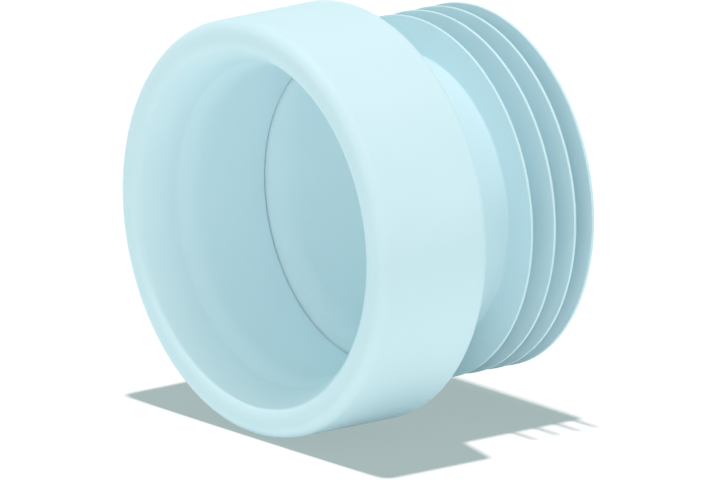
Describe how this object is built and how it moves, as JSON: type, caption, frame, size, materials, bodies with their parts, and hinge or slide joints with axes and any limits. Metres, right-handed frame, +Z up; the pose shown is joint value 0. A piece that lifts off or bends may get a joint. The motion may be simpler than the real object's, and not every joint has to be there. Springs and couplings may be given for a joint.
{
  "type": "toilet pan connector",
  "caption": "Straight toilet pan connector: a rounded bell with a turned-in sealing sleeve, closed by a conical shoulder onto a spigot ringed with thin sealing fins.",
  "frame": {"origin": "on the connector's axis, where the straight part of the pan socket's sleeve begins behind its sealing bead", "axes": "the axis lies along Y as when fitted: the mouth faces -Y towards the pan, the spigot points to +Y into the soil pipe, +Z is up"},
  "size_m": [0.134, 0.0954, 0.134],
  "materials": {
    "soft_plastic": "satin, pale blue soft moulded plastic"
  },
  "bodies": {
    "root": {"pan_connector": "soft_plastic"}
  },
  "joints": []
}
